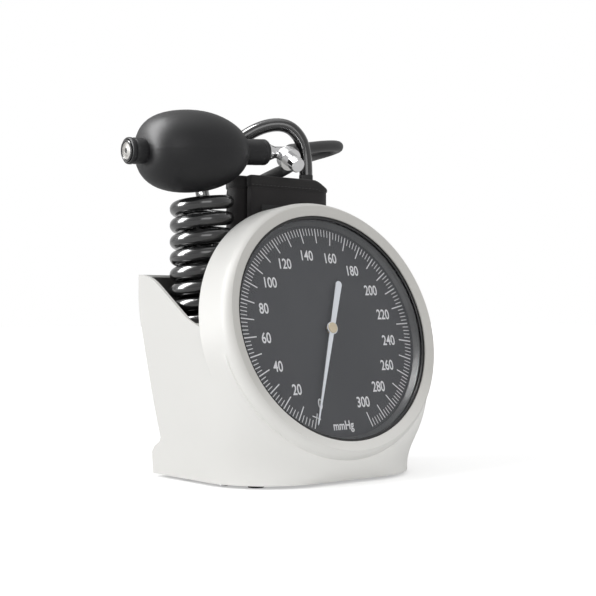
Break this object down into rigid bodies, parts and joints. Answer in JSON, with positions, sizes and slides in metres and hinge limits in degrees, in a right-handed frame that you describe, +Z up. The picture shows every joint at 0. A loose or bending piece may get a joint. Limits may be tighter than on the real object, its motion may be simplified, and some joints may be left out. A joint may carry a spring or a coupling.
{
  "type": "desk sphygmomanometer",
  "caption": "Desk blood pressure gauge: leaning round dial in a white housing with a rear bin holding a folded cuff, a coiled hose and a squeeze bulb with its release valve.",
  "frame": {"origin": "middle of the underside of the front left rubber foot, on the desk", "axes": "+Z up, -Y to the front, where the dial faces and leans back by 15.9 degrees, +X to the right as seen from the front; the housing's middle plane is X = 0.054 m and its seam plane Y = 0.0266 m"},
  "size_m": [0.2061, 0.1411, 0.2362],
  "materials": {
    "white_shell": "satin moulded white",
    "grey_plastic": "matt dark grey moulding",
    "black_plastic": "gloss black",
    "soft_black": "matt black rubber",
    "hose_black": "glossy black tubing",
    "bulb_rubber": "satin dark grey rubber",
    "steel": "plain steel",
    "grey_ring": "satin mid grey",
    "clear_lens": "clear flat window",
    "dial_face": "matt slate grey paint",
    "pointer_white": "white paint",
    "brass": "turned brass",
    "chrome": "polished chrome",
    "cuff_cloth": "black woven nylon",
    "hook_cloth": "black hook tape"
  },
  "bodies": {
    "housing": {"front_shell": "white_shell", "rear_shell": "white_shell", "gauge_cover": "white_shell", "bin_liner": "grey_plastic", "base_plate": "grey_plastic", "gauge_case": "black_plastic", "bezel_ring": "black_plastic", "rubber_feet": "soft_black", "lens_gasket": "soft_black", "coil_hose": "hose_black", "gauge_hose": "hose_black", "base_screws": "steel", "case_screws": "steel", "movement_screws": "steel", "hairspring": "steel", "reflector_ring": "grey_ring", "lens": "clear_lens", "dial_plate": "dial_face", "dial_feet": "brass", "movement_front_plate": "brass", "movement_back_plate": "brass", "movement_pillars": "brass", "pressure_capsule": "brass", "capsule_nut": "brass", "inlet_elbow": "brass", "hose_fitting": "brass", "fitting_nut": "brass"},
    "pointer_group": {"pointer": "pointer_white", "pointer_collet": "brass", "pointer_cap": "brass", "pointer_shaft": "steel"},
    "sector": {"sector_gear": "brass"},
    "rocker": {"rocker_shaft": "steel"},
    "pusher": {"capsule_pusher": "steel"},
    "cuff_set": {"cuff": "cuff_cloth", "cuff_bladder": "soft_black", "hook_tape": "hook_cloth", "cuff_hose": "hose_black", "bulb_hose": "hose_black", "inflation_bulb": "bulb_rubber", "bulb_inlet_valve": "chrome", "release_valve_body": "chrome"},
    "needle": {"valve_needle": "steel"},
    "release_knob": {"release_screw": "chrome"},
    "flap": {"inlet_flap": "soft_black"}
  },
  "joints": [
    {"name": "pointer_turn", "type": "hinge", "parent": "housing", "child": "pointer_group", "pos_m": [0.054, -0.0034, 0.0944], "axis": [0, 0.9617, -0.274], "range_deg": [0, 320], "stiffness_Nm_per_rad": 0.0015},
    {"name": "sector_turn", "type": "hinge", "parent": "housing", "child": "sector", "pos_m": [0.038, -0.00626, 0.08437], "axis": [0, -0.9617, 0.274], "range_deg": [0, 35.6]},
    {"name": "rocker_turn", "type": "hinge", "parent": "housing", "child": "rocker", "pos_m": [0.054, 0.0006, 0.07704], "axis": [-1, 0, 0], "range_deg": [0, 23]},
    {"name": "pusher_slide", "type": "slide", "parent": "housing", "child": "pusher", "axis": [0, -0.9617, 0.274], "range_m": [0, 0.002]},
    {"name": "cuff_lift", "type": "slide", "parent": "housing", "child": "cuff_set", "axis": [0, 0, 1], "range_m": [0, 0.15], "deforming": ["coil_hose"]},
    {"name": "needle_slide", "type": "slide", "parent": "cuff_set", "child": "needle", "axis": [0, -0.866, -0.5], "range_m": [0, 0.00075]},
    {"name": "release_turn", "type": "hinge", "parent": "needle", "child": "release_knob", "pos_m": [0.05296, 0.0466, 0.2109], "axis": [0, -0.866, -0.5], "range_deg": [0, 541]},
    {"name": "inlet_flap_slide", "type": "slide", "parent": "cuff_set", "child": "flap", "axis": [0.9973, 0, 0.0736], "range_m": [0, 0.0008]}
  ],
  "couplings": [
    {"joint": "sector_turn", "follows": "pointer_turn", "ratio": 0.11111},
    {"joint": "rocker_turn", "follows": "pointer_turn", "ratio": 0.0715},
    {"joint": "pusher_slide", "follows": "pointer_turn", "m_per_rad": 0.000358},
    {"joint": "release_turn", "follows": "needle_slide", "rad_per_m": 12566}
  ]
}
